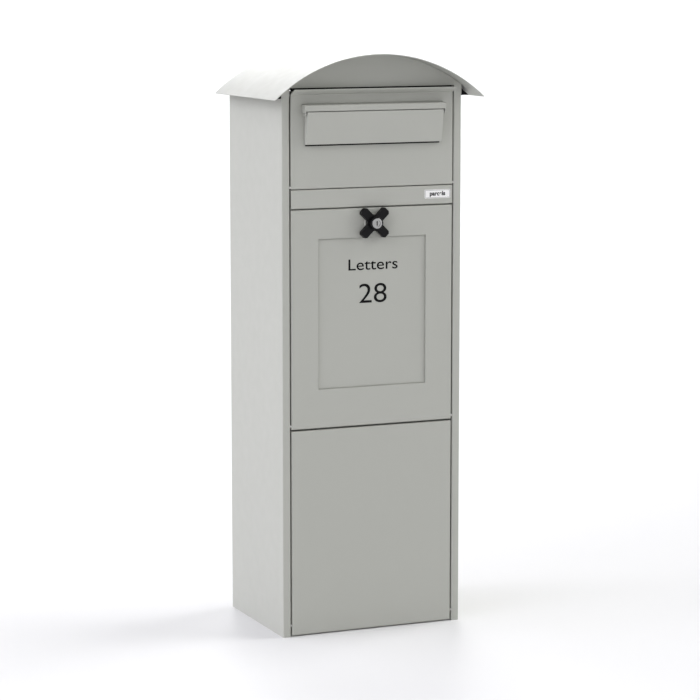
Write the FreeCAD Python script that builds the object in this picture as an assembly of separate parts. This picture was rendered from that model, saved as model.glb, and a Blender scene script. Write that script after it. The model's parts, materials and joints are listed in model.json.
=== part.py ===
import FreeCAD, Part
import math
import os

# Free-standing letter and parcel box: a folded steel column with an arched roof.
# Millimetres. +Z is up, the front faces -Y, +X is to the right seen from the front.
# The origin is the centre of the anchor bolt pattern on the underside of the base plate.

os.makedirs("parts", exist_ok=True)
Vec = FreeCAD.Vector
ALONG_X = Vec(1, 0, 0)
ALONG_Y = Vec(0, 1, 0)
ALONG_Z = Vec(0, 0, 1)

# ---------------------------------------------------------------- driving dimensions
WIDTH = 400.0
DEPTH = 300.0
HEIGHT = 1200.0
SHEET = 1.5
BEND = 1.0
RUNNING = 0.05

HALF = WIDTH / 2
FRONT = -DEPTH / 2
BACK = DEPTH / 2
INNER = HALF - SHEET

POST = 16.8
POST_RETURN = 13.5
SIDE_GAP = 3.0
POST_EDGE = HALF - POST
PANEL = POST_EDGE - SIDE_GAP
PAN_DEPTH = 11.0
PAN_FLANGE = 12.0
PAN_BACK = FRONT + PAN_DEPTH

LOWER_BOTTOM = 2.2
LOWER_TOP = 431.0
DOOR_BOTTOM = 434.5
DOOR_TOP = 885.5
STRIP_BOTTOM = 888.0
STRIP_TOP = 926.5
LABEL_LEFT = 117.0
LABEL_RIGHT = 175.0
LABEL_BOTTOM = 900.0
LABEL_TOP = 918.0
LABEL_THICK = 0.8
KEEPER_BACK = FRONT + 14.5
KEEPER_DROP = 20.0
HATCH_BOTTOM = 928.0
HATCH_TOP = 1119.0
LIP_OUT = 21.5
LIP_RISE = 10.0
TAB_BOTTOM = 1114.0
GABLE_BOTTOM = 1132.5

ROOF_RADIUS = 345.0
ROOF_CENTRE = HEIGHT - ROOF_RADIUS
ROOF_HALF = 231.5
ROOF_FRONT = FRONT - 43.5
GABLE_RADIUS = ROOF_RADIUS - SHEET - 0.3
GABLE_HALF = HALF
EAVE_STRIP_OUT = 18.0
EAVE_STRIP_BOTTOM = 1111.5
EAVE_STRIP_TOP = 1127.0
EAVE_STRIP_FRONT = FRONT + 3.0
BAFFLE_BACK = FRONT + 13.0
BAFFLE_DROP = 24.0

RAIL_HALF = 12.5
RAIL_LEG = 12.0
RAIL_ANGLE = 18.7
RAIL_TOP = ROOF_CENTRE + math.sqrt((ROOF_RADIUS - SHEET) ** 2 - RAIL_HALF ** 2) - 0.1
STUD_RADIUS = 2.5
STUD_LENGTH = 14.0
STUD_PLACES = (-110.0, 110.0)

PIN_RADIUS = 1.5
PIN_INSIDE = 1.2
SPACER_RADIUS = 2.2
SPACER_PLAY = 0.3
HATCH_PIN = (FRONT + 3.2, 932.0)
DOOR_PIN = (FRONT + 3.2, 442.0)
LOWER_PIN = (FRONT + 3.2, 23.4)

TRAY_SLOPE = 10.0
TRAY_LENGTH = 150.0
TRAY_START = FRONT + 14.0
TRAY_FLANGE = 15.0
TRAY_RIVETS = (35.0, 115.0)
TRAY_RIVET_RISE = 8.0
CHEEK_RADIUS = 172.0
CHEEK_OUTER = PANEL - SHEET

SLOT_HALF = 138.0
SLOT_BOTTOM = 1028.0
SLOT_TOP = 1067.0
SLOT_CORNER = 3.0

HOOD_HALF = 156.0
HOOD_TOP = 1098.5
HOOD_BOTTOM = 1086.0
HOOD_OUT = 19.5
FLAP_HALF = 151.0
FLAP_TOP = 1084.2
FLAP_BOTTOM = 1017.6
FLAP_FOOT_OUT = 9.8
FLAP_PIN = (FRONT - 14.5, 1080.5)
FLAP_PIN_RADIUS = 1.5
FLAP_PIN_HEAD = 2.7
SPRING_LENGTH = 12.0
SPRING_OUTER = 2.7
SPRING_INNER = 1.8

HOOD_FLANGE = 14.0
HOOD_STUDS = (-120.0, -40.0, 40.0, 120.0)
HOOD_STUD_Z = HOOD_TOP + 8.0
HOOD_STUD_RADIUS = 2.0

SEAL_HALF = PANEL - 2
SEAL_FRONT = FRONT + 0.5
SEAL_BACK = FRONT + 6.0
SEAL_BOTTOM = GABLE_BOTTOM - 6
STRIP_HALF = 149.0
STRIP_OUT = 2.3
STRIP_LOW = 1015.0
STRIP_HIGH = 1019.0

POCKET_HALF = 120.5
POCKET_BOTTOM = 515.0
POCKET_TOP = 825.0
POCKET_DEPTH = 3.0
CREASE_WIDTH = 1.4
CREASE_DEPTH = 0.8

LOCK_Z = 855.0
SLEEVE_RADIUS = 9.0
SPINDLE_RADIUS = 6.0
NECK_RADIUS = 4.0
KNOB_FACE = FRONT - 24.0
KNOB_BACK = FRONT - 4.0
KNOB_POCKET = FRONT - 8.0
BEZEL_RADIUS = 10.7
ROSETTE_RADIUS = 18.5
HUB_RADIUS = 13.8
SHOULDER_RADIUS = 16.5
ARM_HALF = 8.8
ARM_REACH = 38.0
ARM_CHAMFER = 3.5
ARM_FRONT = FRONT - 14.5
PLUG_RADIUS = 7.0
PLUG_FACE = KNOB_FACE + 0.6
CAM_FRONT = -132.5
CAM_BACK = -130.0
CAM_REACH = 24.0
CAM_HALF = 8.0
NUT_HEIGHT = 4.0

FLOOR_Z = 447.0
FLOOR_FRONT = -131.0
BASE_FRONT = -118.0
BASE_SHEET = 2.0
BASE_EDGE = 14.0
FLOOR_EDGE = 15.0
FLOOR_APRON = 35.0
DRAIN_RADIUS = 3.0
BACK_FACE = BACK - SHEET
ANCHOR_X = 150.0
ANCHOR_Y = 90.0
ANCHOR_RADIUS = 5.5
REAR_FLANGE = 20.0

RIVET_RADIUS = 2.0
RIVET_HEAD = 3.5
RIVET_PITCH = 200.0
RIVET_FIRST = 60.0
RIVET_ROWS = 6


# ---------------------------------------------------------------- geometry helpers
def box(x0, x1, y0, y1, z0, z1):
    """Rectangular block between two corners."""
    return Part.makeBox(x1 - x0, y1 - y0, z1 - z0, Vec(x0, y0, z0))


def rod(radius, start, direction, length):
    """Round bar from a start point."""
    return Part.makeCylinder(radius, length, Vec(*start), direction)


def hexagon(across_flats, start, direction, length):
    """Hexagonal bar from a start point."""
    centre = Vec(*start)
    side = ALONG_Z if abs(direction.z) < 0.5 else ALONG_X
    corner = side * (across_flats / math.sqrt(3))
    turn = FreeCAD.Rotation(direction, 60)
    points = [centre + corner]
    for _ in range(6):
        corner = turn.multVec(corner)
        points.append(centre + corner)
    return Part.Face(Part.makePolygon(points)).extrude(direction * length)


def placed(plane, a, b, level):
    """Point of a drawing plane at a level along the plane's normal."""
    if plane == "xy":
        return Vec(a, b, level)
    if plane == "yz":
        return Vec(level, a, b)
    return Vec(a, level, b)


def normal_of(plane):
    """Normal of a drawing plane."""
    return {"xy": ALONG_Z, "yz": ALONG_X, "xz": ALONG_Y}[plane]


def plate(points, plane, low, high):
    """Flat polygon extruded between two levels of its plane."""
    corners = [placed(plane, a, b, low) for a, b in points]
    face = Part.Face(Part.makePolygon(corners + corners[:1]))
    return face.extrude(normal_of(plane) * (high - low))


def unit(start, end):
    """Unit direction between two plane points."""
    length = math.hypot(end[0] - start[0], end[1] - start[1])
    return (end[0] - start[0]) / length, (end[1] - start[1]) / length


def offset_left(points, distance):
    """Mitred copy of an open path, moved to its left."""
    moved = []
    for index, point in enumerate(points):
        before = unit(points[max(index - 1, 0)], points[max(index, 1)])
        last = len(points) - 1
        after = unit(points[min(index, last - 1)], points[min(index + 1, last)])
        left_x = -before[1] - after[1]
        left_y = before[0] + after[0]
        scale = 2 * distance / (left_x * left_x + left_y * left_y)
        moved.append((point[0] + left_x * scale, point[1] + left_y * scale))
    return moved


def rounded_path(points, radii, plane, level):
    """Edges along an open path, with an arc at each inner corner."""
    edges = []
    start = points[0]
    for index in range(1, len(points) - 1):
        corner = points[index]
        into = unit(points[index - 1], corner)
        out = unit(corner, points[index + 1])
        half = math.acos(max(-1.0, min(1.0, into[0] * out[0] + into[1] * out[1]))) / 2
        back = radii[index] * math.tan(half)
        arc_start = (corner[0] - into[0] * back, corner[1] - into[1] * back)
        arc_end = (corner[0] + out[0] * back, corner[1] + out[1] * back)
        toward = unit((0, 0), (out[0] - into[0], out[1] - into[1]))
        rise = radii[index] / math.cos(half) - radii[index]
        arc_middle = (corner[0] + toward[0] * rise, corner[1] + toward[1] * rise)
        edges.append(Part.LineSegment(placed(plane, *start, level), placed(plane, *arc_start, level)))
        edges.append(Part.Arc(*[placed(plane, *p, level) for p in (arc_start, arc_middle, arc_end)]))
        start = arc_end
    edges.append(Part.LineSegment(placed(plane, *start, level), placed(plane, *points[-1], level)))
    return [edge.toShape() for edge in edges]


def folded(points, plane, low, high):
    """Folded sheet: the path is one face, and the sheet lies to the path's left."""
    outer_radii = [0.0]
    inner_radii = [0.0]
    for index in range(1, len(points) - 1):
        into = unit(points[index - 1], points[index])
        out = unit(points[index], points[index + 1])
        turns_left = into[0] * out[1] - into[1] * out[0] > 0
        outer_radii.append(BEND + SHEET if turns_left else BEND)
        inner_radii.append(BEND if turns_left else BEND + SHEET)
    inside = offset_left(points, SHEET)
    edges = rounded_path(points, outer_radii + [0.0], plane, low)
    edges += rounded_path(inside, inner_radii + [0.0], plane, low)
    for first, second in ((points[0], inside[0]), (points[-1], inside[-1])):
        edges.append(Part.makeLine(placed(plane, *first, low), placed(plane, *second, low)))
    wire = Part.Wire(Part.__sortEdges__(edges))
    return Part.Face(wire).extrude(normal_of(plane) * (high - low))


def softened(shape, radius, wanted):
    """Fillet the edges that a test picks out."""
    return shape.makeFillet(radius, [edge for edge in shape.Edges if wanted(edge)])


def pan(bottom, top):
    """Door leaf: a front sheet with four returns and a narrow rear flange."""
    outer = box(-PANEL, PANEL, FRONT, PAN_BACK, bottom, top)
    outer = softened(outer, BEND + SHEET, lambda edge: edge.BoundBox.YMax < FRONT + 0.1)
    inner = box(-PANEL + SHEET, PANEL - SHEET, FRONT + SHEET, PAN_BACK - SHEET, bottom + SHEET, top - SHEET)
    mouth = box(-PANEL + PAN_FLANGE, PANEL - PAN_FLANGE, PAN_BACK - SHEET - 1, PAN_BACK + 1,
                bottom + PAN_FLANGE, top - PAN_FLANGE)
    return outer.cut([inner, mouth])


def both_sides(shape):
    """A shape and its mirror image in the middle plane."""
    return [shape, shape.mirror(Vec(0, 0, 0), ALONG_X)]


def pin_holes(pin, clearance):
    """Cutter for a pair of pivot holes through both side walls of an opening."""
    reach = HALF - 5
    return rod(PIN_RADIUS + clearance, (-reach, *pin), ALONG_X, 2 * reach)


def save(node, *solids):
    """Write one node."""
    shape = solids[0] if len(solids) == 1 else Part.makeCompound(list(solids))
    shape.exportStep("parts/" + node + ".step")
    return shape


# ---------------------------------------------------------------- column
def side_panel():
    """Right side: wall, front post with its inward return, and rear flange."""
    post = [(POST_EDGE, FRONT + POST_RETURN), (POST_EDGE, FRONT), (HALF, FRONT)]
    path = post + [(HALF, BACK), (HALF - REAR_FLANGE, BACK)]
    panel = folded(path, "xy", 0, roof_height(HALF, ROOF_RADIUS - SHEET) - 0.4)
    over = TAB_BOTTOM + 20
    front_relief = box(POST_EDGE - 5, HALF + 5, FRONT - 5, FRONT + SHEET + 0.3, TAB_BOTTOM, over)
    post_relief = box(POST_EDGE - 5, POST_EDGE + 5, FRONT - 5, FRONT + POST_RETURN + 5, TAB_BOTTOM, over)
    rear_relief = box(HALF - 25, HALF + 5, BACK_FACE - 0.3, BACK + 5, TAB_BOTTOM, over)
    pins = [pin_holes(pin, 0) for pin in (HATCH_PIN, DOOR_PIN, LOWER_PIN)]
    return panel.cut([front_relief, post_relief, rear_relief] + pins + rivet_holes())


def rivet_places():
    """Centres of the rivets that hold the back panel to the rear flanges."""
    rows = [RIVET_FIRST + RIVET_PITCH * row for row in range(RIVET_ROWS)]
    return [(side * (HALF - REAR_FLANGE / 2), height) for side in (-1, 1) for height in rows]


def rivet_holes():
    """Cutters for the back panel's rivets."""
    reach = 4 * SHEET
    return [rod(RIVET_RADIUS, (x, BACK - reach, z), ALONG_Y, 2 * reach) for x, z in rivet_places()]


def back_rivets():
    """Blind rivets with a domed outer head and a set inner end."""
    rivets = []
    for x, z in rivet_places():
        shank = rod(RIVET_RADIUS, (x, BACK_FACE - 2 * SHEET, z), ALONG_Y, 3 * SHEET)
        ball = Part.makeSphere(2 * RIVET_HEAD, Vec(x, BACK + 1.2 - 2 * RIVET_HEAD, z))
        head = ball.common(rod(RIVET_HEAD, (x, BACK, z), ALONG_Y, 2))
        tail = rod(RIVET_HEAD - 0.5, (x, BACK_FACE - 2 * SHEET, z), ALONG_Y, SHEET)
        rivets.append(shank.fuse([head, tail]).removeSplitter())
    return rivets


def back_panel():
    """Back sheet, held inside the rear flanges."""
    sheet = box(-INNER + 1, INNER - 1, BACK_FACE - SHEET, BACK_FACE, BASE_SHEET, TAB_BOTTOM - 2)
    return sheet.cut(rivet_holes())


def base_plate():
    """Floor plate with upturned edges and four anchor holes."""
    rear = BACK_FACE - SHEET
    sheet = box(-INNER, INNER, BASE_FRONT, rear, 0, BASE_SHEET)
    edges = [
        box(-INNER, -INNER + SHEET, BASE_FRONT, rear, 0, BASE_EDGE),
        box(INNER - SHEET, INNER, BASE_FRONT, rear, 0, BASE_EDGE),
        box(-INNER, INNER, BASE_FRONT, BASE_FRONT + SHEET, 0, BASE_EDGE),
        box(-INNER, INNER, rear - SHEET, rear, 0, BASE_EDGE),
    ]
    holes = [rod(ANCHOR_RADIUS, (x, y, -1), ALONG_Z, 5)
             for x in (-ANCHOR_X, ANCHOR_X) for y in (-ANCHOR_Y, ANCHOR_Y)]
    return sheet.fuse(edges).cut(holes).removeSplitter()


def compartment_floor():
    """Floor of the mail compartment, with downturned edges and drain holes."""
    rear = BACK_FACE - SHEET
    sheet = box(-INNER, INNER, FLOOR_FRONT, rear, FLOOR_Z, FLOOR_Z + SHEET)
    edges = [
        box(-INNER, -INNER + SHEET, FLOOR_FRONT, rear, FLOOR_Z - FLOOR_EDGE, FLOOR_Z),
        box(INNER - SHEET, INNER, FLOOR_FRONT, rear, FLOOR_Z - FLOOR_EDGE, FLOOR_Z),
        box(-INNER, INNER, FLOOR_FRONT, FLOOR_FRONT + SHEET, FLOOR_Z - FLOOR_APRON, FLOOR_Z),
        box(-INNER, INNER, rear - SHEET, rear, FLOOR_Z - FLOOR_EDGE, FLOOR_Z),
    ]
    drains = [rod(DRAIN_RADIUS, (60 * column, 50 * row, FLOOR_Z - 1), ALONG_Z, 4)
              for column in (-2, -1, 0, 1, 2) for row in (-1, 0, 1, 2)]
    return sheet.fuse(edges).cut(drains).removeSplitter()


def cross_member():
    """Fixed strip between hatch and door, with the keeper flange for the latch cam."""
    rear = KEEPER_BACK
    path = [(rear, STRIP_TOP), (FRONT, STRIP_TOP), (FRONT, STRIP_BOTTOM), (rear, STRIP_BOTTOM),
            (rear, STRIP_BOTTOM - KEEPER_DROP)]
    strip = folded(path, "yz", -PANEL, PANEL)
    bracket = box(PANEL - 27, INNER, rear, rear + SHEET, STRIP_BOTTOM, STRIP_TOP)
    wall_tab = box(INNER - SHEET, INNER, rear, rear + 25, STRIP_BOTTOM, STRIP_TOP)
    ends = both_sides(bracket.fuse(wall_tab))
    return strip.fuse(ends).removeSplitter()


def label_plate():
    """Blank enamelled plate at the right end of the strip."""
    sheet = box(LABEL_LEFT, LABEL_RIGHT, FRONT - LABEL_THICK, FRONT, LABEL_BOTTOM, LABEL_TOP)
    return softened(sheet, 1.5, lambda edge: edge.BoundBox.YLength > LABEL_THICK - 0.1)


# ---------------------------------------------------------------- roof
def roof_height(x, radius):
    """Height of an arc about the roof's centre at a distance from the middle."""
    return ROOF_CENTRE + math.sqrt(radius * radius - x * x)


def arc_over(half, radius, level):
    """Arc across the top, from right to left."""
    right = Vec(half, level, roof_height(half, radius))
    top = Vec(0, level, ROOF_CENTRE + radius)
    left = Vec(-half, level, roof_height(half, radius))
    return Part.Arc(right, top, left).toShape()


def roof_sheet():
    """Arched roof, rolled from one sheet."""
    inside = ROOF_RADIUS - SHEET
    inner_half = ROOF_HALF * inside / ROOF_RADIUS
    outer = arc_over(ROOF_HALF, ROOF_RADIUS, ROOF_FRONT)
    inner = arc_over(inner_half, inside, ROOF_FRONT)
    ends = []
    for side in (-1, 1):
        low = Vec(side * inner_half, ROOF_FRONT, roof_height(inner_half, inside))
        high = Vec(side * ROOF_HALF, ROOF_FRONT, roof_height(ROOF_HALF, ROOF_RADIUS))
        ends.append(Part.makeLine(low, high))
    wire = Part.Wire(Part.__sortEdges__([outer, inner] + ends))
    return Part.Face(wire).extrude(ALONG_Y * (BACK - ROOF_FRONT))


def gable(y0, lower_points):
    """Arched end plate under the roof, with the given lower outline from left to right."""
    arc = arc_over(GABLE_HALF, GABLE_RADIUS, y0)
    lower = [(-GABLE_HALF, roof_height(GABLE_HALF, GABLE_RADIUS))] + lower_points
    lower.append((GABLE_HALF, roof_height(GABLE_HALF, GABLE_RADIUS)))
    corners = [Vec(x, y0, z) for x, z in lower]
    edges = [Part.makeLine(a, b) for a, b in zip(corners, corners[1:])]
    wire = Part.Wire(Part.__sortEdges__([arc] + edges))
    return Part.Face(wire).extrude(ALONG_Y * SHEET)


def front_gable():
    """Front end plate with a return and a rain baffle behind the hatch's top edge."""
    tab = POST_EDGE - 0.2
    sheet = gable(FRONT, [(-GABLE_HALF, TAB_BOTTOM), (-tab, TAB_BOTTOM), (-tab, GABLE_BOTTOM),
                          (tab, GABLE_BOTTOM), (tab, TAB_BOTTOM), (GABLE_HALF, TAB_BOTTOM)])
    baffle_half = CHEEK_OUTER - 3.5
    inner_return = box(-baffle_half, baffle_half, FRONT + SHEET, BAFFLE_BACK,
                       GABLE_BOTTOM, GABLE_BOTTOM + SHEET)
    baffle = box(-baffle_half, baffle_half, BAFFLE_BACK - SHEET, BAFFLE_BACK,
                 GABLE_BOTTOM - BAFFLE_DROP, GABLE_BOTTOM)
    return sheet.fuse([inner_return, baffle]).removeSplitter()


def rear_gable():
    """Rear end plate."""
    return gable(BACK_FACE, [(-GABLE_HALF, TAB_BOTTOM), (GABLE_HALF, TAB_BOTTOM)])


def hatch_seal():
    """Rubber rain seal under the front gable, over the hatch's upper edge."""
    return box(-SEAL_HALF, SEAL_HALF, SEAL_FRONT, SEAL_BACK, SEAL_BOTTOM, GABLE_BOTTOM)


def eave_strips():
    """Rubber strips of triangular section along the top of both side walls, under the eaves."""
    outline = [(HALF, EAVE_STRIP_BOTTOM), (HALF + EAVE_STRIP_OUT, EAVE_STRIP_BOTTOM), (HALF, EAVE_STRIP_TOP)]
    return both_sides(plate(outline, "xz", EAVE_STRIP_FRONT, -EAVE_STRIP_FRONT))


def turned_to_rails(shape):
    """Copies of a shape made at the roof's middle, turned to each of the two rails."""
    copies = []
    for angle in (-RAIL_ANGLE, RAIL_ANGLE):
        copy = shape.copy()
        copy.rotate(Vec(0, 0, ROOF_CENTRE), ALONG_Y, angle)
        copies.append(copy)
    return copies


def roof_rails():
    """Channels from gable to gable that the roof is bolted to."""
    front = FRONT + SHEET
    length = (front, BACK_FACE)
    web = box(-RAIL_HALF, RAIL_HALF, *length, RAIL_TOP - SHEET, RAIL_TOP)
    legs = both_sides(box(RAIL_HALF - SHEET, RAIL_HALF, *length, RAIL_TOP - RAIL_LEG, RAIL_TOP))
    holes = [rod(STUD_RADIUS + 0.25, (0, y, RAIL_TOP - 5), ALONG_Z, 10) for y in STUD_PLACES]
    return turned_to_rails(web.fuse(legs).cut(holes).removeSplitter())


def roof_studs():
    """Weld studs under the roof."""
    top = ROOF_CENTRE + ROOF_RADIUS - SHEET - 0.03
    studs = []
    for y in STUD_PLACES:
        studs += turned_to_rails(rod(STUD_RADIUS, (0, y, top - STUD_LENGTH), ALONG_Z, STUD_LENGTH))
    return studs


def roof_nuts():
    """Nuts on the roof's weld studs."""
    nuts = []
    for y in STUD_PLACES:
        start = (0, y, RAIL_TOP - SHEET - 4)
        nut = hexagon(8, start, ALONG_Z, 4).cut(rod(STUD_RADIUS + RUNNING, start, ALONG_Z, 4))
        nuts += turned_to_rails(nut)
    return nuts


# ---------------------------------------------------------------- pivots, stops and catches
def pivot_pins(pin):
    """Two stub pins, pressed into the posts, that carry one leaf."""
    free_end = PANEL - 5
    return both_sides(rod(PIN_RADIUS, (free_end, *pin), ALONG_X, POST_EDGE + SHEET + PIN_INSIDE - free_end))


def pivot_spacers():
    """Nylon rings on the stub pins that centre each leaf between the posts."""
    rings = []
    length = SIDE_GAP - SPACER_PLAY
    for pin in (HATCH_PIN, DOOR_PIN, LOWER_PIN):
        start = (POST_EDGE - length, *pin)
        bore = rod(PIN_RADIUS, start, ALONG_X, length)
        rings += both_sides(rod(SPACER_RADIUS, start, ALONG_X, length).cut(bore))
    return rings


def bumper(x, front, rear, z):
    """Round rubber buffer."""
    body = rod(5, (x, front, z), ALONG_Y, rear - front)
    return softened(body, 0.8, lambda edge: edge.BoundBox.YMax < front + 0.1)


def door_bumpers():
    """Buffers on the keeper flange that stop the door."""
    return both_sides(bumper(140, PAN_BACK + 0.2, KEEPER_BACK, STRIP_BOTTOM - KEEPER_DROP / 2))


def hatch_bumpers():
    """Buffers on the rain baffle that stop the hatch."""
    return both_sides(bumper(HOOD_HALF + 9, FRONT + SHEET + 0.2, BAFFLE_BACK - SHEET, HATCH_TOP - 5.5))


def catch_magnets():
    """Magnetic catches for the lower panel, on the floor's front edge."""
    return both_sides(box(110, 130, PAN_BACK + 1.2, FLOOR_FRONT, LOWER_TOP - 10.5, LOWER_TOP - 1))


def strike_plates():
    """Steel plates on the lower panel that meet the magnets."""
    return both_sides(box(107, 133, PAN_BACK, PAN_BACK + 1, LOWER_TOP - 11, LOWER_TOP - 1))


# ---------------------------------------------------------------- hatch
def hatch_panel():
    """Upper leaf with a flared pull lip, two side returns and the letter slot."""
    path = [(FRONT + PAN_DEPTH, HATCH_BOTTOM), (FRONT, HATCH_BOTTOM), (FRONT, HATCH_TOP),
            (FRONT - LIP_OUT, HATCH_TOP + LIP_RISE)]
    sheet = folded(path[::-1], "yz", -PANEL, PANEL)
    side = box(PANEL - SHEET, PANEL, FRONT, PAN_BACK, HATCH_BOTTOM, HATCH_TOP - 2)
    side = softened(side, BEND + SHEET, lambda edge: edge.BoundBox.YMax < FRONT + 0.1
                    and edge.BoundBox.ZMax < HATCH_BOTTOM + 0.1)
    leaf = sheet.fuse(both_sides(side))
    slot = box(-SLOT_HALF, SLOT_HALF, FRONT - 1, FRONT + SHEET + 1, SLOT_BOTTOM, SLOT_TOP)
    slot = softened(slot, SLOT_CORNER, lambda edge: edge.BoundBox.YLength > 1)
    hood_slot = box(-HOOD_HALF - 0.3, HOOD_HALF + 0.3, FRONT - 1, FRONT + SHEET + 1,
                    HOOD_TOP - SHEET - 0.3, HOOD_TOP + 2.2)
    edge_trim = box(PANEL - BEND, PANEL + 1, FRONT - 1, FRONT + BEND, HATCH_BOTTOM - 1, HATCH_TOP - 2)
    bend_core = rod(BEND, (PANEL - BEND, FRONT + BEND, HATCH_BOTTOM - 1), ALONG_Z,
                    HATCH_TOP - 1 - HATCH_BOTTOM)
    trims = both_sides(edge_trim.cut(bend_core))
    return leaf.cut([slot, hood_slot, pin_holes(HATCH_PIN, RUNNING)] + trims).removeSplitter()


def drip_strip():
    """Rubber strip on the leaf that the letter flap's foot comes down over."""
    return box(-STRIP_HALF, STRIP_HALF, FRONT - STRIP_OUT, FRONT, STRIP_LOW, STRIP_HIGH)


def swung(angle, distance):
    """Point at a distance from the hatch's pivot; angle 0 points backwards."""
    turn = math.radians(angle)
    return HATCH_PIN[0] + distance * math.cos(turn), HATCH_PIN[1] + distance * math.sin(turn)


def along_tray(distance, rise):
    """Point over the sloping tray: distance from its bend, height over its lower face."""
    slope = math.radians(TRAY_SLOPE)
    y = TRAY_START + distance * math.cos(slope) + rise * math.sin(slope)
    z = HATCH_BOTTOM + SHEET + 0.1 - distance * math.sin(slope) + rise * math.cos(slope)
    return y, z


def tray_rivet_holes(radius):
    """Cutters for the rivets that join tray and cheeks."""
    return [rod(radius, (-HALF, *along_tray(distance, TRAY_RIVET_RISE)), ALONG_X, WIDTH)
            for distance in TRAY_RIVETS]


def parcel_tray():
    """Sloping plate behind the hatch that lifts a parcel and lets it slide in."""
    half = CHEEK_OUTER - SHEET
    path = [(FRONT + 7.0, along_tray(0, 0)[1]), along_tray(0, 0), along_tray(TRAY_LENGTH, 0),
            along_tray(TRAY_LENGTH, -8)]
    sheet = folded(path, "yz", -half, half)
    flange_end = TRAY_LENGTH - 5
    flange_outline = [along_tray(2, 0.2), along_tray(flange_end, 0.2), along_tray(flange_end, TRAY_FLANGE),
                      along_tray(2, TRAY_FLANGE)]
    flanges = both_sides(plate(flange_outline, "yz", half - SHEET, half))
    return sheet.fuse(flanges).cut(tray_rivet_holes(RIVET_RADIUS)).removeSplitter()


def cheek():
    """Right quarter-circle side plate that keeps a parcel on the tray."""
    front = FRONT + SHEET
    top = (front, HATCH_PIN[1] + math.sqrt(CHEEK_RADIUS ** 2 - (front - HATCH_PIN[0]) ** 2))
    middle = swung(40, CHEEK_RADIUS)
    rear = swung(-TRAY_SLOPE, CHEEK_RADIUS)
    foot = (front, HATCH_PIN[1] + 5)
    instep = (HATCH_PIN[0] + 5, HATCH_PIN[1] + 5)
    level = CHEEK_OUTER - SHEET
    arc = Part.Arc(*[placed("yz", *p, level) for p in (top, middle, rear)]).toShape()
    corners = [placed("yz", *p, level) for p in (rear, along_tray(0, 0), instep, foot, top)]
    edges = [arc] + [Part.makeLine(a, b) for a, b in zip(corners, corners[1:])]
    sheet = Part.Face(Part.Wire(Part.__sortEdges__(edges))).extrude(ALONG_X * SHEET)
    return sheet.cut(tray_rivet_holes(RIVET_RADIUS))


def tray_rivets():
    """Rivets that join tray and cheeks."""
    rivets = []
    inner = CHEEK_OUTER - 2 * SHEET
    for distance in TRAY_RIVETS:
        y, z = along_tray(distance, TRAY_RIVET_RISE)
        shank = rod(RIVET_RADIUS, (inner - 1, y, z), ALONG_X, 2 * SHEET + 2)
        heads = [rod(RIVET_HEAD, (inner - 1, y, z), ALONG_X, 1),
                 rod(RIVET_HEAD, (CHEEK_OUTER, y, z), ALONG_X, 1)]
        rivets += both_sides(shank.fuse(heads).removeSplitter())
    return rivets


def slot_hood():
    """Rain hood: it passes through the leaf and turns up behind it, with an ear at each end."""
    tip = FRONT - HOOD_OUT
    behind = FRONT + SHEET
    top_sheet = box(-HOOD_HALF, HOOD_HALF, FRONT - 2, behind + SHEET, HOOD_TOP - SHEET, HOOD_TOP)
    flange = box(-HOOD_HALF, HOOD_HALF, behind, behind + SHEET, HOOD_TOP - SHEET, HOOD_TOP + HOOD_FLANGE)
    front_path = [(FRONT, HOOD_TOP), (tip, HOOD_TOP), (tip, HOOD_BOTTOM)]
    front_sheet = folded(front_path, "yz", -HOOD_HALF, HOOD_HALF)
    ear_foot = HOOD_BOTTOM - 9.5
    ear_outline = [(FRONT - 0.2, HOOD_TOP - 0.5), (tip + 1, HOOD_TOP - 0.5), (tip + 0.1, HOOD_TOP - 3),
                   (tip + 0.1, ear_foot + 3.5), (tip + 3.5, ear_foot), (tip + 10, ear_foot),
                   (FRONT - 0.2, HOOD_BOTTOM + 2)]
    ears = both_sides(plate(ear_outline, "yz", HOOD_HALF - SHEET, HOOD_HALF))
    studs = [rod(HOOD_STUD_RADIUS + 0.2, (x, behind - 1, HOOD_STUD_Z), ALONG_Y, 5) for x in HOOD_STUDS]
    pin = rod(FLAP_PIN_RADIUS, (-HALF, *FLAP_PIN), ALONG_X, WIDTH)
    return top_sheet.fuse([flange, front_sheet] + ears).cut(studs + [pin]).removeSplitter()


def hood_studs():
    """Weld studs behind the leaf that hold the hood."""
    return [rod(HOOD_STUD_RADIUS, (x, FRONT + SHEET, HOOD_STUD_Z), ALONG_Y, 8) for x in HOOD_STUDS]


def hood_nuts():
    """Nuts on the hood's studs."""
    nuts = []
    for x in HOOD_STUDS:
        start = (x, FRONT + 2 * SHEET, HOOD_STUD_Z)
        nut = hexagon(7, start, ALONG_Y, 3.2)
        nuts.append(nut.cut(rod(HOOD_STUD_RADIUS + RUNNING, start, ALONG_Y, 3.2)))
    return nuts


def flap_pin():
    """Pin across the hood's ears, with a set head at each end."""
    shank = rod(FLAP_PIN_RADIUS, (-HOOD_HALF - 1, *FLAP_PIN), ALONG_X, 2 * HOOD_HALF + 2)
    heads = both_sides(rod(FLAP_PIN_HEAD, (HOOD_HALF, *FLAP_PIN), ALONG_X, 1))
    return shank.fuse(heads).removeSplitter()


def flap_spring():
    """Envelope of the torsion spring wound round the flap's pin."""
    start = (-FLAP_HALF + 5, *FLAP_PIN)
    bore = rod(SPRING_INNER, start, ALONG_X, SPRING_LENGTH)
    return rod(SPRING_OUTER, start, ALONG_X, SPRING_LENGTH).cut(bore)


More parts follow.
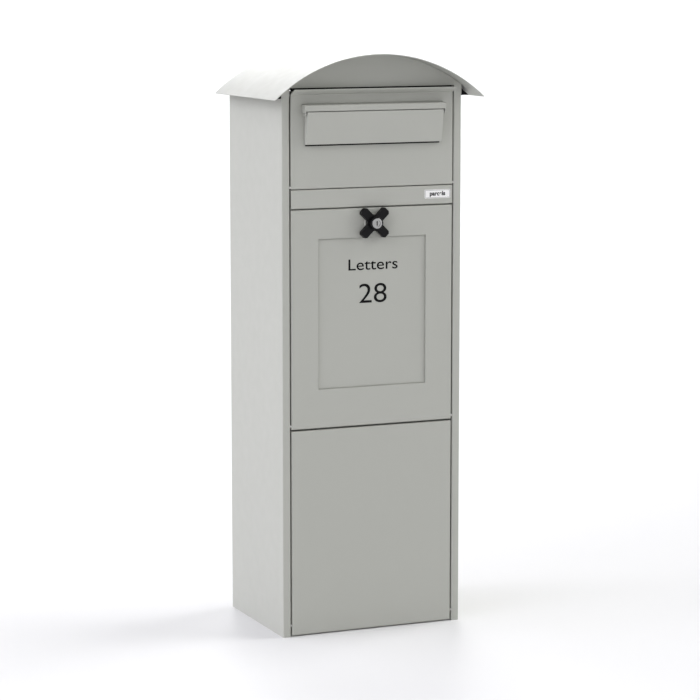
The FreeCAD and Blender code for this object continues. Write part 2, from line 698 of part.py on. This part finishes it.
def letter_flap():
    """Outer letter flap with tapered side returns that hang on the pin."""
    head = (FRONT - HOOD_OUT, FLAP_TOP)
    foot = (FRONT - FLAP_FOOT_OUT, FLAP_BOTTOM)
    front_sheet = folded([head, foot, (foot[0] + 5, foot[1] + 1)], "yz", -FLAP_HALF, FLAP_HALF)
    near = FRONT - 1.7
    outline = [(head[0] + 1, head[1]), (near, head[1]), (near, foot[1] + 4), (foot[0] + 3, foot[1] + 1.2),
               (foot[0] + 0.8, foot[1] + 1.2)]
    returns = both_sides(plate(outline, "yz", FLAP_HALF - SHEET, FLAP_HALF))
    pin = rod(FLAP_PIN_RADIUS + RUNNING, (-HALF, *FLAP_PIN), ALONG_X, WIDTH)
    return front_sheet.fuse(returns).cut(pin).removeSplitter()


# ---------------------------------------------------------------- door and lock
def door_panel():
    """Main leaf with a shallow pressed pocket and the lock hole."""
    leaf = pan(DOOR_BOTTOM, DOOR_TOP)
    back_wall = box(-POCKET_HALF - SHEET, POCKET_HALF + SHEET, FRONT + SHEET, FRONT + POCKET_DEPTH + SHEET,
                    POCKET_BOTTOM - SHEET, POCKET_TOP + SHEET)
    recess = box(-POCKET_HALF, POCKET_HALF, FRONT - 1, FRONT + POCKET_DEPTH, POCKET_BOTTOM, POCKET_TOP)
    crease_back = FRONT + POCKET_DEPTH + CREASE_DEPTH
    crease = box(-POCKET_HALF, POCKET_HALF, FRONT, crease_back, POCKET_BOTTOM, POCKET_TOP)
    inner_half = POCKET_HALF - CREASE_WIDTH
    inside = box(-inner_half, inner_half, FRONT - 1, crease_back + 1,
                 POCKET_BOTTOM + CREASE_WIDTH, POCKET_TOP - CREASE_WIDTH)
    recess = recess.fuse(crease.cut(inside))
    lock = rod(SLEEVE_RADIUS + RUNNING, (0, FRONT - 1, LOCK_Z), ALONG_Y, 5)
    return leaf.fuse(back_wall).cut([recess, lock, pin_holes(DOOR_PIN, RUNNING)]).removeSplitter()


def ring(outer, inner, y0, y1):
    """Ring on the lock's axis."""
    start = (0, y0, LOCK_Z)
    return rod(outer, start, ALONG_Y, y1 - y0).cut(rod(inner, start, ALONG_Y, y1 - y0))


def lock_rosette():
    """Base ring between knob and door."""
    disc = ring(ROSETTE_RADIUS, SLEEVE_RADIUS + RUNNING, FRONT - 3, FRONT)
    return softened(disc, 1.0, lambda edge: edge.BoundBox.YMax < FRONT - 2.9 and edge.BoundBox.XMax > 15)


def lock_sleeve():
    """Bush through the door in which the spindle turns."""
    return ring(SLEEVE_RADIUS, SPINDLE_RADIUS + RUNNING, FRONT - 3.5, FRONT + 12)


def lock_nut():
    """Nut that clamps the bush from inside."""
    start = (0, FRONT + SHEET, LOCK_Z)
    bore = rod(SLEEVE_RADIUS + RUNNING, start, ALONG_Y, NUT_HEIGHT)
    return hexagon(24, start, ALONG_Y, NUT_HEIGHT).cut(bore)


def lock_knob():
    """Four-armed turning knob with a raised hub."""
    side = ARM_REACH - ARM_CHAMFER
    end = ARM_HALF - ARM_CHAMFER
    outline = [(ARM_HALF, 0), (ARM_HALF, side), (end, ARM_REACH), (-end, ARM_REACH), (-ARM_HALF, side),
               (-ARM_HALF, 0)]
    arms = []
    for quarter in range(4):
        arm = plate([(x, z + LOCK_Z) for x, z in outline], "xz", ARM_FRONT, KNOB_BACK)
        arm = softened(arm, 1.5, lambda edge: edge.BoundBox.YMax < ARM_FRONT + 0.1
                       and edge.BoundBox.ZMin > LOCK_Z + 0.1)
        arm.rotate(Vec(0, 0, LOCK_Z), ALONG_Y, 45 + 90 * quarter)
        arms.append(arm)
    hub = rod(HUB_RADIUS, (0, KNOB_FACE, LOCK_Z), ALONG_Y, KNOB_BACK - KNOB_FACE)
    hub = softened(hub, 1.0, lambda edge: edge.BoundBox.YMax < KNOB_FACE + 0.1)
    shoulder = rod(SHOULDER_RADIUS, (0, ARM_FRONT, LOCK_Z), ALONG_Y, KNOB_BACK - ARM_FRONT)
    pocket = rod(BEZEL_RADIUS + RUNNING, (0, KNOB_FACE - 1, LOCK_Z), ALONG_Y, KNOB_POCKET - KNOB_FACE + 1)
    bore = rod(SPINDLE_RADIUS, (0, KNOB_POCKET - 1, LOCK_Z), ALONG_Y, 10)
    return hub.fuse([shoulder] + arms).cut([pocket, bore]).removeSplitter()


def lock_spindle():
    """Spindle from the knob to the cam."""
    shaft = rod(SPINDLE_RADIUS, (0, KNOB_POCKET, LOCK_Z), ALONG_Y, CAM_FRONT - KNOB_POCKET)
    neck = rod(NECK_RADIUS, (0, CAM_FRONT, LOCK_Z), ALONG_Y, 6.5)
    return shaft.fuse(neck).removeSplitter()


def lock_bezel():
    """Bright ring round the key plug."""
    disc = ring(BEZEL_RADIUS, PLUG_RADIUS + RUNNING, KNOB_FACE - 0.6, KNOB_POCKET)
    return softened(disc, 0.6, lambda edge: edge.BoundBox.YMax < KNOB_FACE - 0.5 and edge.BoundBox.XMax > 10)


def key_plug():
    """Rotating plug with a keyway."""
    body = rod(PLUG_RADIUS, (0, PLUG_FACE, LOCK_Z), ALONG_Y, KNOB_POCKET - 0.2 - PLUG_FACE)
    keyway = box(-1.3, 1.3, KNOB_FACE - 1, KNOB_FACE + 8, LOCK_Z - 4.6, LOCK_Z + 4.6)
    return body.cut(keyway)


def lock_cam():
    """Latch cam, at rest turned to the right and clear of the keeper flange."""
    hub = rod(CAM_HALF + 2, (0, CAM_FRONT, LOCK_Z), ALONG_Y, CAM_BACK - CAM_FRONT)
    bar = box(0, CAM_REACH, CAM_FRONT, CAM_BACK, LOCK_Z - CAM_HALF, LOCK_Z + CAM_HALF)
    nose = rod(CAM_HALF, (CAM_REACH, CAM_FRONT, LOCK_Z), ALONG_Y, CAM_BACK - CAM_FRONT)
    bore = rod(NECK_RADIUS + RUNNING, (0, CAM_FRONT, LOCK_Z), ALONG_Y, CAM_BACK - CAM_FRONT)
    return hub.fuse([bar, nose]).cut(bore).removeSplitter()


def cam_nut():
    """Nut that holds the cam."""
    start = (0, CAM_BACK, LOCK_Z)
    return hexagon(13, start, ALONG_Y, 3.5).cut(rod(NECK_RADIUS + RUNNING, start, ALONG_Y, 3.5))


def lower_panel():
    """Lower leaf in front of the foot compartment."""
    return pan(LOWER_BOTTOM, LOWER_TOP).cut(pin_holes(LOWER_PIN, RUNNING))


# ---------------------------------------------------------------- nodes
right_side, left_side = both_sides(side_panel())
right_cheek, left_cheek = both_sides(cheek())

save("left_side_panel", left_side)
save("right_side_panel", right_side)
save("back_panel", back_panel())
save("back_rivets", *back_rivets())
save("base_plate", base_plate())
save("compartment_floor", compartment_floor())
save("cross_member", cross_member())
save("label_plate", label_plate())
save("roof_sheet", roof_sheet())
save("front_gable", front_gable())
save("rear_gable", rear_gable())
save("hatch_seal", hatch_seal())
save("eave_strips", *eave_strips())
save("roof_rails", *roof_rails())
save("roof_studs", *roof_studs())
save("roof_nuts", *roof_nuts())
save("hatch_pivot_pins", *pivot_pins(HATCH_PIN))
save("door_pivot_pins", *pivot_pins(DOOR_PIN))
save("lower_pivot_pins", *pivot_pins(LOWER_PIN))
save("pivot_spacers", *pivot_spacers())
save("door_bumpers", *door_bumpers())
save("hatch_bumpers", *hatch_bumpers())
save("catch_magnets", *catch_magnets())
save("hatch_panel", hatch_panel())
save("drip_strip", drip_strip())
save("left_cheek", left_cheek)
save("right_cheek", right_cheek)
save("parcel_tray", parcel_tray())
save("tray_rivets", *tray_rivets())
save("slot_hood", slot_hood())
save("hood_studs", *hood_studs())
save("hood_nuts", *hood_nuts())
save("flap_pin", flap_pin())
save("flap_spring", flap_spring())
save("letter_flap", letter_flap())
save("door_panel", door_panel())
save("lock_rosette", lock_rosette())
save("lock_sleeve", lock_sleeve())
save("lock_nut", lock_nut())
save("lock_knob", lock_knob())
save("lock_spindle", lock_spindle())
save("lock_bezel", lock_bezel())
save("lock_cam", lock_cam())
save("cam_nut", cam_nut())
save("key_plug", key_plug())
save("lower_panel", lower_panel())
save("strike_plates", *strike_plates())
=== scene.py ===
import json
import math

import bmesh
import bpy
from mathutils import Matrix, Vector


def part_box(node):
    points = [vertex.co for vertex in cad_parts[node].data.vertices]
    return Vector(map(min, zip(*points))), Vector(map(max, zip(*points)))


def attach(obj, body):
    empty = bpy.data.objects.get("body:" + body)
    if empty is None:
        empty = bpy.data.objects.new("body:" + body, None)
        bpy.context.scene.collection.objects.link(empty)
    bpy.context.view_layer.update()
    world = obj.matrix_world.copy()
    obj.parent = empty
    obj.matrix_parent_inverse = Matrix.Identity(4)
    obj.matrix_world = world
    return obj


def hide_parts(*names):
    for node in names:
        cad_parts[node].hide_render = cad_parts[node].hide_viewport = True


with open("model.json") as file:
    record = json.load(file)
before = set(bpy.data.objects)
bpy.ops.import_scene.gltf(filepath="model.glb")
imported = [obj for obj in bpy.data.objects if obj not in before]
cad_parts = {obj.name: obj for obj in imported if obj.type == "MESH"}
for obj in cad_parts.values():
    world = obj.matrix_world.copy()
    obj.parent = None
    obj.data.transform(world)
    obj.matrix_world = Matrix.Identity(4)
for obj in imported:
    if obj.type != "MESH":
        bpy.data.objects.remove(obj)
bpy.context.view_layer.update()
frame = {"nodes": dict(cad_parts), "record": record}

NODES = frame["nodes"]
RECORD = frame["record"]

# ---------------------------------------------------------------- camera and lights
CAMERA_PLACE = (-2.1819, -5.1456, 1.3818)
CAMERA_TILT = math.radians(81.74)
CAMERA_TURN = math.radians(-23.107)
CAMERA_LENS = 137.13
SENSOR_WIDTH = 36.0
CLIP_END = 500

WORLD_STRENGTH = 0.16
FLOOR_COLOR = (0.73, 0.73, 0.73, 1)
FLOOR_SIZE = 160.0
NEUTRAL = (1, 1, 1)
COOL = (1.0, 0.995, 1.07)
SUNS = (
    # name, direction towards the light, angular size in degrees, strength, colour
    ("front_high", (-0.45, -0.55, 0.70), 30, 0.40, NEUTRAL),
    ("front_fill", (0.2, -0.95, 0.25), 60, 0.34, NEUTRAL),
    ("left_back", (-0.6, 0.5, 0.62), 60, 0.95, COOL),
    ("left_low", (-0.9, -0.1, 0.4), 60, 2.16, COOL),
    ("back_low", (0.25, 0.93, 0.27), 30, 1.15, NEUTRAL),
    ("right", (0.9, -0.05, 0.45), 60, 3.50, NEUTRAL),
)

# ---------------------------------------------------------------- colours
PAINT = (0.413, 0.418, 0.383, 1)
KNOB_BLACK = (0.0035, 0.0035, 0.004, 1)
INK = (0.003, 0.003, 0.0032, 1)
NOISE_LOW = 0.3
NOISE_HIGH = 0.7

# ---------------------------------------------------------------- lettering
INK_THICK = 0.00008
POCKET_DEPTH = 0.003
DOOR_TEXT_SHIFT = 0.002
DOOR_TEXT = (
    # name, words, letter size, widening, added stroke, height of the baseline over the door's foot
    ("door_word", "Letters", 0.033, 1.2, 0.00015, 0.3231),
    ("door_number", "28", 0.058, 1.15, -0.0002, 0.2545),
)
LABEL_TEXT_SIZE = 0.0125
LABEL_TEXT_STROKE = 0.0004
LABEL_TEXT_RISE = 0.0058
BORDER_MARGIN = 0.0012
BORDER_LINE = 0.0005
BORDER_SINK = 0.00002

# ---------------------------------------------------------------- flap spring
SPRING_WIRE_RADIUS = 0.00042
SPRING_TURNS = 7
STEPS_PER_TURN = 18
WIRE_SIDES = 8


# ---------------------------------------------------------------- material helpers
class Shader:
    """A node material with one Principled shader and short ways to add what feeds it."""

    def __init__(self, name, color, roughness, metallic=0.0):
        self.material = bpy.data.materials.new(name)
        self.material.use_nodes = True
        self.tree = self.material.node_tree
        self.shader = self.tree.nodes["Principled BSDF"]
        self.set("Base Color", color)
        self.set("Roughness", roughness)
        self.set("Metallic", metallic)
        self.place = self.tree.nodes.new("ShaderNodeTexCoord").outputs["Object"]

    def set(self, socket, value):
        """Set a constant on the shader."""
        self.shader.inputs[socket].default_value = value

    def link(self, source, target):
        """Join two sockets."""
        self.tree.links.new(source, target)

    def noise(self, scale, detail=3.0, stretch=(1, 1, 1)):
        """Noise over the object's own coordinates."""
        node = self.tree.nodes.new("ShaderNodeTexNoise")
        node.inputs["Scale"].default_value = scale
        node.inputs["Detail"].default_value = detail
        mapping = self.tree.nodes.new("ShaderNodeMapping")
        mapping.inputs["Scale"].default_value = stretch
        self.link(self.place, mapping.inputs["Vector"])
        self.link(mapping.outputs["Vector"], node.inputs["Vector"])
        return node.outputs["Fac"]

    def spread(self, source, low, high):
        """Map the middle of the noise's range onto a range of values."""
        node = self.tree.nodes.new("ShaderNodeMapRange")
        node.inputs["From Min"].default_value = NOISE_LOW
        node.inputs["From Max"].default_value = NOISE_HIGH
        node.inputs["To Min"].default_value = low
        node.inputs["To Max"].default_value = high
        self.link(source, node.inputs["Value"])
        return node.outputs["Result"]

    def vary_color(self, source, first, second):
        """Colour that drifts between two tones."""
        node = self.tree.nodes.new("ShaderNodeMix")
        node.data_type = "RGBA"
        node.inputs["A"].default_value = first
        node.inputs["B"].default_value = second
        self.link(source, node.inputs["Factor"])
        self.link(node.outputs["Result"], self.shader.inputs["Base Color"])

    def vary_roughness(self, source, low, high):
        """Roughness that drifts between two values."""
        self.link(self.spread(source, low, high), self.shader.inputs["Roughness"])

    def bump(self, heights, strength, distance):
        """Fine relief from one or more height fields."""
        previous = None
        for height in heights:
            node = self.tree.nodes.new("ShaderNodeBump")
            node.inputs["Strength"].default_value = strength
            node.inputs["Distance"].default_value = distance
            self.link(height, node.inputs["Height"])
            if previous:
                self.link(previous, node.inputs["Normal"])
            previous = node.outputs["Normal"]
        self.link(previous, self.shader.inputs["Normal"])


def toned(color, factor):
    """A lighter or darker tone of a colour."""
    return tuple(min(1.0, channel * factor) for channel in color[:3]) + (1,)


# ---------------------------------------------------------------- materials
def body_paint():
    """Fine matt powder coat."""
    paint = Shader("body_paint", PAINT, 0.5)
    paint.set("Specular IOR Level", 0.42)
    paint.vary_color(paint.noise(3.0, 4.0), toned(PAINT, 0.985), toned(PAINT, 1.015))
    paint.vary_roughness(paint.noise(40.0), 0.38, 0.48)
    paint.bump([paint.noise(1500.0, 2.0), paint.noise(260.0, 2.0)], strength=0.10, distance=0.00012)
    return paint.material


def zinc_steel():
    """Zinc-plated steel with a faint spangle."""
    zinc = Shader("zinc_steel", (0.55, 0.56, 0.57, 1), 0.38, metallic=1.0)
    zinc.vary_color(zinc.noise(90.0, 4.0), (0.50, 0.51, 0.53, 1), (0.60, 0.60, 0.60, 1))
    zinc.vary_roughness(zinc.noise(120.0), 0.30, 0.46)
    zinc.bump([zinc.noise(700.0)], strength=0.15, distance=0.0001)
    return zinc.material


def bright_steel():
    """Turned stainless steel."""
    steel = Shader("bright_steel", (0.62, 0.62, 0.62, 1), 0.24, metallic=1.0)
    steel.vary_roughness(steel.noise(400.0, 2.0, (30, 1, 1)), 0.18, 0.32)
    steel.bump([steel.noise(900.0, 2.0, (20, 1, 1))], strength=0.10, distance=0.00005)
    return steel.material


def lock_chrome():
    """Satin nickel of the lock face."""
    chrome = Shader("lock_chrome", (0.4, 0.4, 0.4, 1), 0.2, metallic=1.0)
    chrome.vary_color(chrome.noise(300.0, 2.0), (0.34, 0.34, 0.34, 1), (0.46, 0.46, 0.45, 1))
    chrome.vary_roughness(chrome.noise(500.0), 0.16, 0.27)
    chrome.bump([chrome.noise(1800.0, 2.0)], strength=0.08, distance=0.00004)
    return chrome.material


def label_enamel():
    """White enamel of the label plate."""
    enamel = Shader("label_enamel", (0.86, 0.86, 0.85, 1), 0.25)
    enamel.vary_color(enamel.noise(60.0), (0.84, 0.84, 0.83, 1), (0.88, 0.88, 0.87, 1))
    enamel.vary_roughness(enamel.noise(200.0, 2.0), 0.2, 0.3)
    enamel.bump([enamel.noise(500.0, 2.0)], strength=0.05, distance=0.00005)
    return enamel.material


def moulded(name, color, low, high, grain, gloss=0.3):
    """Moulded plastic or rubber with an even fine grain."""
    plastic = Shader(name, color, low)
    plastic.set("Specular IOR Level", gloss)
    plastic.vary_color(plastic.noise(35.0), toned(color, 0.85), toned(color, 1.3))
    plastic.vary_roughness(plastic.noise(180.0), low, high)
    plastic.bump([plastic.noise(grain, 2.0)], strength=0.25, distance=0.00015)
    return plastic.material


def lettering_ink():
    """Matt black film of the stuck-on lettering."""
    ink = Shader("lettering_ink", INK, 0.5)
    ink.set("Specular IOR Level", 0.12)
    ink.vary_color(ink.noise(80.0, 2.0), toned(INK, 0.9), toned(INK, 1.2))
    ink.vary_roughness(ink.noise(300.0, 2.0), 0.45, 0.58)
    ink.bump([ink.noise(900.0, 2.0)], strength=0.05, distance=0.00003)
    return ink.material


MATERIALS = {
    "body_paint": body_paint(),
    "zinc_steel": zinc_steel(),
    "bright_steel": bright_steel(),
    "lock_chrome": lock_chrome(),
    "label_enamel": label_enamel(),
    "knob_plastic": moulded("knob_plastic", KNOB_BLACK, 0.34, 0.46, 1300.0, 0.18),
    # Black rubber. On the eave seals it is a dark strip set under the eaves where there is only
    # shade, so it is painted shade.
    "rubber": moulded("rubber", (0.008, 0.008, 0.008, 1), 0.7, 0.85, 900.0, 0.1),
    "nylon": moulded("nylon", (0.6, 0.6, 0.58, 1), 0.4, 0.55, 900.0, 0.4),
    "magnet_plastic": moulded("magnet_plastic", (0.04, 0.04, 0.04, 1), 0.45, 0.6, 900.0),
}
INK_FILM = lettering_ink()


def paint_cad_nodes():
    """Give every CAD node the material of its slot."""
    for subpart in RECORD["subparts"]:
        node = NODES[subpart["node"]]
        node.data.materials.clear()
        node.data.materials.append(MATERIALS[subpart["material_slot"]])


# ---------------------------------------------------------------- piece helpers
def add_object(name, data):
    """New object in the scene."""
    added = bpy.data.objects.new(name, data)
    bpy.context.scene.collection.objects.link(added)
    return added


def placed_mesh(name, mesh, material, body):
    """New piece from a mesh that already stands in its place."""
    piece = add_object(name, mesh)
    mesh.materials.append(material)
    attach(piece, body)
    return piece


def mesh_from(build, name):
    """Mesh from a finished build."""
    mesh = bpy.data.meshes.new(name)
    build.to_mesh(mesh)
    build.free()
    return mesh


def close_strip(build, first, second, smooth=False):
    """Faces between two closed rings of points."""
    for index in range(len(first)):
        after = (index + 1) % len(first)
        face = build.faces.new((first[index], first[after], second[after], second[index]))
        face.smooth = smooth


# ---------------------------------------------------------------- lettering and label
def lettering(name, words, size, widening, stroke, place, body):
    """Flat stuck-on text facing the front, turned into a thin mesh."""
    curve = bpy.data.curves.new(name, "FONT")
    curve.body = words
    curve.size = size
    curve.align_x = "CENTER"
    curve.extrude = INK_THICK
    curve.offset = stroke
    text = add_object(name, curve)
    text.scale = (widening, 1, 1)
    text.rotation_euler = (math.pi / 2, 0, 0)
    text.location = place
    bpy.context.view_layer.update()
    mesh = bpy.data.meshes.new_from_object(text.evaluated_get(bpy.context.evaluated_depsgraph_get()))
    mesh.transform(text.matrix_world)
    bpy.data.objects.remove(text)
    placed_mesh(name, mesh, INK_FILM, body)


def door_lettering():
    """Word and number on the floor of the door's pressed pocket."""
    low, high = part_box("door_panel")
    middle = (low.x + high.x) / 2 + DOOR_TEXT_SHIFT
    level = low.y + POCKET_DEPTH - INK_THICK
    for name, words, size, widening, stroke, rise in DOOR_TEXT:
        lettering(name, words, size, widening, stroke, (middle, level, low.z + rise), "door")


def label_lettering():
    """Word on the label plate."""
    low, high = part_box("label_plate")
    place = ((low.x + high.x) / 2, low.y - INK_THICK, low.z + LABEL_TEXT_RISE)
    lettering("label_word", "parcels", LABEL_TEXT_SIZE, 1.0, LABEL_TEXT_STROKE, place, "column")


def label_outline(build, inset, level):
    """Points of the label plate's outline, drawn in by an inset, at one depth."""
    low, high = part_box("label_plate")
    corners = ((low.x + inset, low.z + inset), (high.x - inset, low.z + inset),
               (high.x - inset, high.z - inset), (low.x + inset, high.z - inset))
    return [build.verts.new((x, level, z)) for x, z in corners]


def label_border():
    """Thin dark frame of ink film near the edge of the label plate."""
    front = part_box("label_plate")[0].y
    build = bmesh.new()
    outer_back = label_outline(build, BORDER_MARGIN, front + BORDER_SINK)
    outer_front = label_outline(build, BORDER_MARGIN, front - INK_THICK)
    inner_back = label_outline(build, BORDER_MARGIN + BORDER_LINE, front + BORDER_SINK)
    inner_front = label_outline(build, BORDER_MARGIN + BORDER_LINE, front - INK_THICK)
    close_strip(build, outer_front, inner_front)
    close_strip(build, outer_back, outer_front)
    close_strip(build, inner_front, inner_back)
    bmesh.ops.recalc_face_normals(build, faces=build.faces)
    placed_mesh("label_border", mesh_from(build, "label_border"), INK_FILM, "column")


# ---------------------------------------------------------------- flap spring
def coil_rings(build):
    """Rings of points round the wire, from one end of the winding to the other."""
    low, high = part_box("flap_spring")
    centre_y = (low.y + high.y) / 2
    centre_z = (low.z + high.z) / 2
    radius = (high.y - low.y) / 2 - SPRING_WIRE_RADIUS
    length = high.x - low.x - 2 * SPRING_WIRE_RADIUS
    steps = SPRING_TURNS * STEPS_PER_TURN
    rings = []
    for step in range(steps + 1):
        turn = 2 * math.pi * step / STEPS_PER_TURN
        x = low.x + SPRING_WIRE_RADIUS + length * step / steps
        ring = []
        for side in range(WIRE_SIDES):
            around = 2 * math.pi * side / WIRE_SIDES
            reach = radius + SPRING_WIRE_RADIUS * math.cos(around)
            place = (x + SPRING_WIRE_RADIUS * math.sin(around), centre_y + reach * math.cos(turn),
                     centre_z + reach * math.sin(turn))
            ring.append(build.verts.new(place))
        rings.append(ring)
    return rings


def flap_coil():
    """Wound torsion spring on the flap's pin."""
    build = bmesh.new()
    rings = coil_rings(build)
    for first, second in zip(rings, rings[1:]):
        close_strip(build, first, second, smooth=True)
    build.faces.new(rings[0])
    build.faces.new(rings[-1])
    bmesh.ops.recalc_face_normals(build, faces=build.faces)
    mesh = mesh_from(build, "flap_coil")
    coil = placed_mesh("flap_coil", mesh, MATERIALS["bright_steel"], "hatch")
    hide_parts("flap_spring")


# ---------------------------------------------------------------- stage
def add_floor():
    """Plain pale floor."""
    build = bmesh.new()
    bmesh.ops.create_grid(build, x_segments=1, y_segments=1, size=FLOOR_SIZE)
    mesh = mesh_from(build, "floor")
    floor = add_object("floor", mesh)
    surface = Shader("floor", FLOOR_COLOR, 0.6)
    surface.set("Specular IOR Level", 0.2)
    mesh.materials.append(surface.material)


def add_suns():
    """Large soft lights, the same all over the floor."""
    for name, direction, angle, strength, color in SUNS:
        light = bpy.data.lights.new(name, "SUN")
        light.angle = math.radians(angle)
        light.energy = strength
        light.color = color
        lamp = add_object(name, light)
        lamp.rotation_euler = Vector(direction).to_track_quat("Z", "Y").to_euler()


def add_world():
    """Even white surroundings."""
    world = bpy.data.worlds.new("studio")
    world.use_nodes = True
    background = world.node_tree.nodes["Background"]
    background.inputs["Color"].default_value = (1, 1, 1, 1)
    background.inputs["Strength"].default_value = WORLD_STRENGTH
    bpy.context.scene.world = world
    bpy.context.scene.view_settings.view_transform = "Standard"


def add_camera():
    """Camera in front and to the left, slightly above."""
    data = bpy.data.cameras.new("camera")
    data.lens = CAMERA_LENS
    data.sensor_width = SENSOR_WIDTH
    data.clip_end = CLIP_END
    camera = add_object("camera", data)
    camera.location = CAMERA_PLACE
    camera.rotation_euler = (CAMERA_TILT, 0, CAMERA_TURN)
    bpy.context.scene.camera = camera


paint_cad_nodes()
door_lettering()
label_lettering()
label_border()
flap_coil()

add_floor()
add_world()
add_suns()
add_camera()
